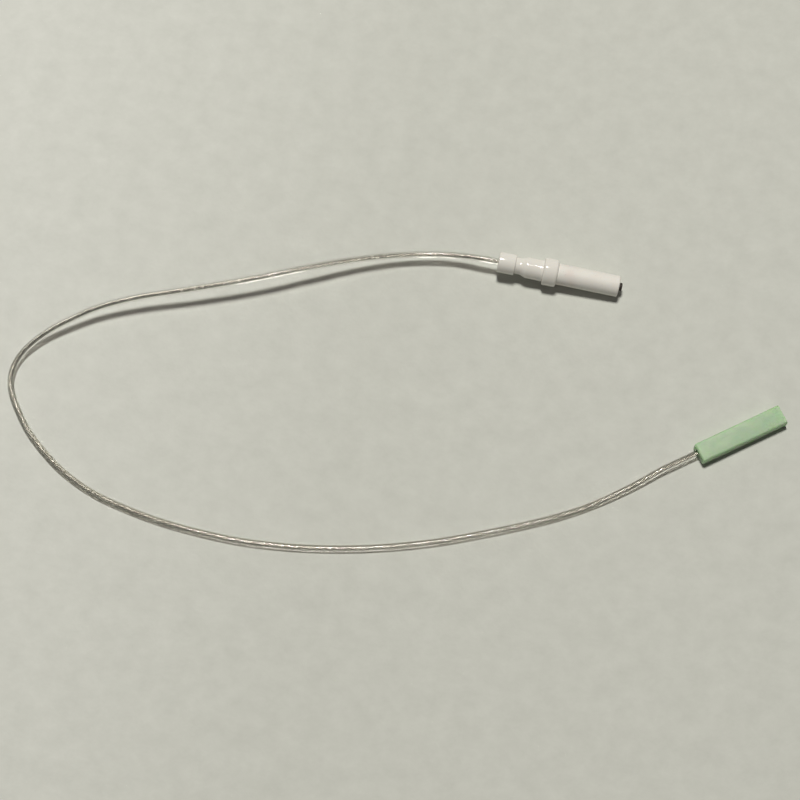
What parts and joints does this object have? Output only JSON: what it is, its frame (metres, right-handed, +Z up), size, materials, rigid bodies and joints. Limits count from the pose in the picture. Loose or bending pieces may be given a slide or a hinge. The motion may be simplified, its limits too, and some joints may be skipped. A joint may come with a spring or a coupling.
{
  "type": "flame sensor probe",
  "caption": "Ceramic flame-sensing electrode with a clear-sheathed stranded lead, ending in a push-on terminal under a green sliding boot.",
  "frame": {"origin": "on the table, under the middle of the probe (ceramic body and nail head) without its lead", "axes": "+X along the probe towards its nail head, +Z up from the table; the probe lies on its collar and nose, so its axis dips by 2.94 degrees towards the nail head"},
  "size_m": [0.2572, 0.1168, 0.0096],
  "materials": {
    "ceramic": "glazed behind the collar, matt bare nose",
    "electrode": "heat-oxidised alloy, nearly black",
    "cement": "matt cement",
    "tinned_steel": "tin-plated",
    "seal": "satin silicone",
    "conductor": "bright tinned copper strands",
    "sheath": "clear glossy fluoropolymer",
    "tinned_brass": "tin-plated brass",
    "boot": "satin, slightly see-through"
  },
  "bodies": {
    "probe": {"ceramic_body": "ceramic", "electrode_pin": "electrode", "front_cement": "cement", "crimp_ferrule": "tinned_steel", "rear_seal": "seal", "strand_1_at_pin": "conductor", "strand_2_at_pin": "conductor", "strand_3_at_pin": "conductor", "strand_4_at_pin": "conductor", "strand_5_at_pin": "conductor", "strand_6_at_pin": "conductor", "strand_7_at_pin": "conductor", "lead_cable": "sheath", "strand_1_at_terminal": "conductor", "strand_2_at_terminal": "conductor", "strand_3_at_terminal": "conductor", "strand_4_at_terminal": "conductor", "strand_5_at_terminal": "conductor", "strand_6_at_terminal": "conductor", "strand_7_at_terminal": "conductor", "push_on_terminal": "tinned_brass"},
    "boot": {"insulating_boot": "boot"}
  },
  "joints": [
    {"name": "boot_slide", "type": "slide", "parent": "probe", "child": "boot", "axis": [-0.7986, -0.6018, 0], "range_m": [0, 0.01]}
  ]
}
